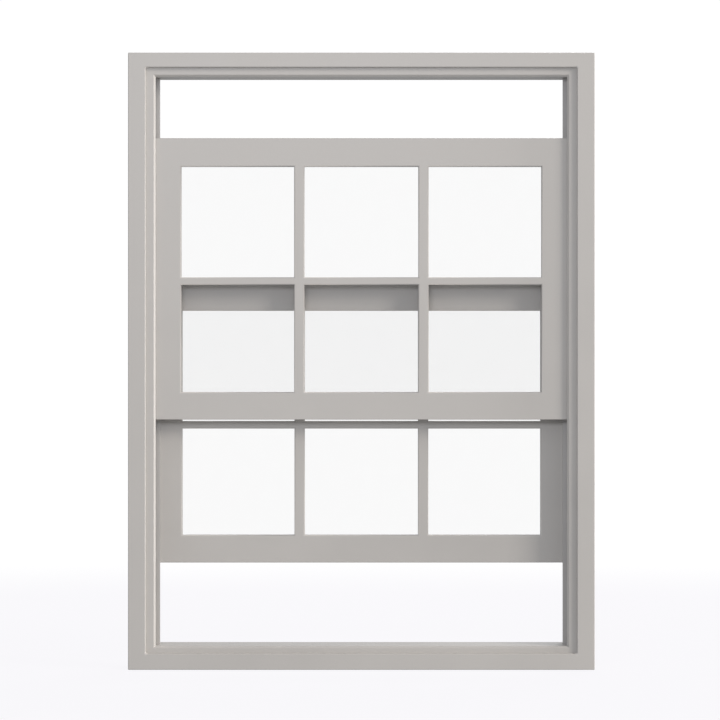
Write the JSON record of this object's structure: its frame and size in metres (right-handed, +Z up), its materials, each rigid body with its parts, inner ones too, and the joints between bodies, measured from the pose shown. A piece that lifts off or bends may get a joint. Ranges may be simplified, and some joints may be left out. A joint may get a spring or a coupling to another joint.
{
  "type": "double-hung sash window",
  "caption": "Painted timber double-hung window: a deep frame holding glazed, barred sashes that slide up and down past each other on hidden spiral balances.",
  "frame": {"origin": "bottom centre of the window's box: the middle of the sill's underside, halfway between the outside and room faces", "axes": "+Z up, +X to the right as seen from outside, +Y from the outside face towards the room"},
  "size_m": [0.915, 0.118, 1.21],
  "materials": {
    "paint": "warm light grey satin paint over timber",
    "bead_paint": "the same satin paint on small timber beads",
    "glass": "clear float glass",
    "zinc": "bright zinc plate",
    "lift": "satin nickel plate",
    "pile": "short dense brush pile"
  },
  "bodies": {
    "frame": {"frame_head": "paint", "frame_sill": "paint", "frame_jamb_left": "paint", "frame_jamb_right": "paint", "parting_bead_left": "bead_paint", "parting_bead_right": "bead_paint", "staff_bead_left": "bead_paint", "staff_bead_right": "bead_paint", "brush_seals": "pile", "tube_upper_left": "zinc", "tube_upper_right": "zinc", "tube_lower_left": "zinc", "tube_lower_right": "zinc", "balance_springs": "zinc", "tube_screws": "zinc"},
    "upper_sash": {"upper_stile_left": "paint", "upper_stile_right": "paint", "upper_rail_top": "paint", "upper_rail_bottom": "paint", "upper_bar_left": "paint", "upper_bar_right": "paint", "upper_cross_bars": "paint", "upper_pane_1": "glass", "upper_pane_2": "glass", "upper_pane_3": "glass", "upper_pane_4": "glass", "upper_pane_5": "glass", "upper_pane_6": "glass", "upper_glazing_beads": "bead_paint", "upper_rods": "zinc", "upper_brackets": "zinc", "upper_bracket_screws": "zinc"},
    "lower_sash": {"lower_stile_left": "paint", "lower_stile_right": "paint", "lower_rail_top": "paint", "lower_rail_bottom": "paint", "lower_bar_left": "paint", "lower_bar_right": "paint", "lower_cross_bars": "paint", "lower_pane_1": "glass", "lower_pane_2": "glass", "lower_pane_3": "glass", "lower_pane_4": "glass", "lower_pane_5": "glass", "lower_pane_6": "glass", "lower_glazing_beads": "bead_paint", "lower_rods": "zinc", "lower_brackets": "zinc", "lower_bracket_screws": "zinc", "sash_lift_left": "lift", "sash_lift_right": "lift", "lift_screws": "zinc"}
  },
  "joints": [
    {"name": "upper_sash_slide", "type": "slide", "parent": "frame", "child": "upper_sash", "axis": [0, 0, 1], "range_m": [-0.36, 0.12]},
    {"name": "lower_sash_slide", "type": "slide", "parent": "frame", "child": "lower_sash", "axis": [0, 0, 1], "range_m": [-0.16, 0.32]}
  ]
}
